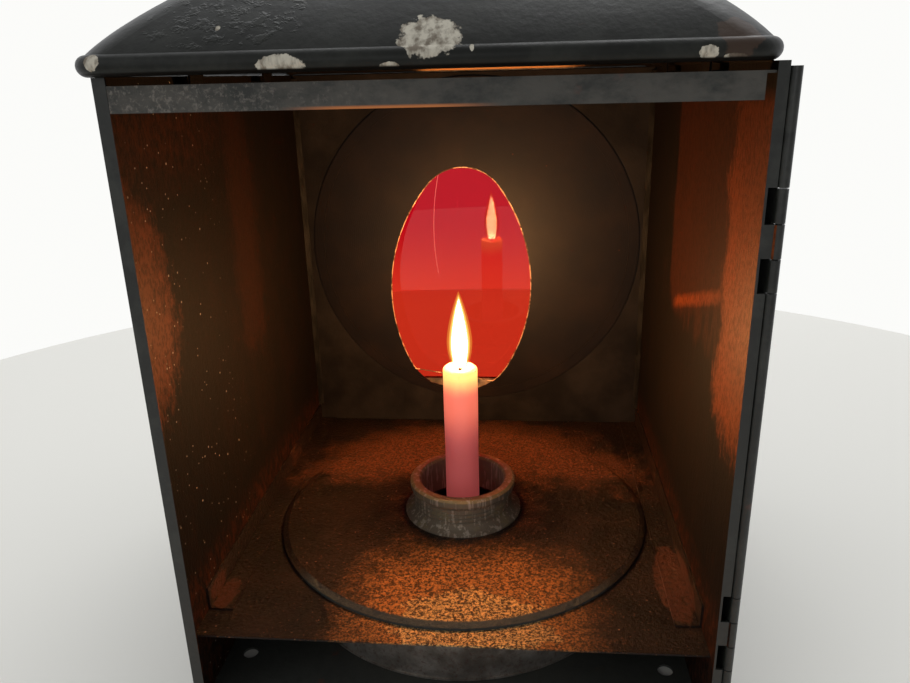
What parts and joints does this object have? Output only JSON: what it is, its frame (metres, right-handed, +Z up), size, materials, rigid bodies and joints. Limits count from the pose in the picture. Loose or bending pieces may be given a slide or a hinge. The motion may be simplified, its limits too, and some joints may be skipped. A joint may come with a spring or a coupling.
{
  "type": "candle darkroom lantern",
  "caption": "Square tinplate darkroom lantern with domed roof and chimney, hinged door, ruby glass behind an egg-shaped opening, and an oil font whose collar holds a candle.",
  "frame": {"origin": "bottom centre of the bounding box, on the surface the lantern stands on", "axes": "+Z up, +Y out through the ruby glass, +X towards the door's hinges"},
  "size_m": [0.168, 0.1794, 0.263],
  "materials": {
    "japanned_tin": "worn black japan, satin",
    "sooted_tin": "heat-browned and sooted tinplate",
    "bare_tin": "dull bare tinplate",
    "solder": "dull solder",
    "iron_wire": "blackened iron wire",
    "collar_brass": "tarnished brass",
    "ruby_glass": "ruby glass",
    "grip_wood": "ebonised wood",
    "candle_wax": "pink wax",
    "candle_wick": "charred cotton"
  },
  "bodies": {
    "lamp_body": {"base_plate": "japanned_tin", "left_wall": "japanned_tin", "right_wall": "japanned_tin", "window_wall": "japanned_tin", "window_disc": "sooted_tin", "corner_solder": "solder", "header_strip": "japanned_tin", "floor_plate": "sooted_tin", "floor_angle_left": "sooted_tin", "floor_angle_right": "sooted_tin", "glass_rail_left": "bare_tin", "glass_rail_right": "bare_tin", "glass_rail_bottom": "bare_tin", "glass_rail_top": "bare_tin", "roof_shell": "japanned_tin", "roof_rim_wire": "iron_wire", "roof_brackets": "japanned_tin", "chimney_tube": "japanned_tin", "chimney_collar": "japanned_tin", "chimney_baffle": "sooted_tin", "chimney_cap": "japanned_tin", "cap_skirt_ring": "japanned_tin", "cap_legs": "japanned_tin", "handle_ears": "japanned_tin", "ear_rivets": "iron_wire", "hinge_pins": "iron_wire", "latch_pivot": "iron_wire"},
    "door": {"door_panel": "japanned_tin", "latch_stud": "iron_wire"},
    "latch": {"latch_hook": "japanned_tin"},
    "glass": {"ruby_glass": "ruby_glass", "glass_pull": "bare_tin"},
    "handle": {"handle_wire": "iron_wire", "handle_grip": "grip_wood"},
    "font": {"font_bottom": "bare_tin", "font_drum": "bare_tin", "font_top": "sooted_tin", "burner_collar": "collar_brass"},
    "candle": {"candle": "candle_wax", "candle_wick": "candle_wick", "wax_foot": "candle_wax"}
  },
  "joints": [
    {"name": "door_hinge", "type": "hinge", "parent": "lamp_body", "child": "door", "pos_m": [0.0816, -0.0852, 0.094], "axis": [0, 0, -1], "range_deg": [0, 270]},
    {"name": "latch_swing", "type": "hinge", "parent": "lamp_body", "child": "latch", "pos_m": [-0.0798, -0.06775, 0.0744], "axis": [-1, 0, 0], "range_deg": [0, 125]},
    {"name": "glass_slide", "type": "slide", "parent": "lamp_body", "child": "glass", "axis": [0, 0, 1], "range_m": [0, 0.12]},
    {"name": "handle_swing", "type": "hinge", "parent": "lamp_body", "child": "handle", "pos_m": [-0.0018, -0.00445, 0.233], "axis": [1, 0, 0], "range_deg": [0, 201]},
    {"name": "font_lift", "type": "slide", "parent": "lamp_body", "child": "font", "axis": [0, 0, 1], "range_m": [0, 0.028]},
    {"name": "candle_lift", "type": "slide", "parent": "font", "child": "candle", "axis": [0, 0, 1], "range_m": [0, 0.042]}
  ]
}
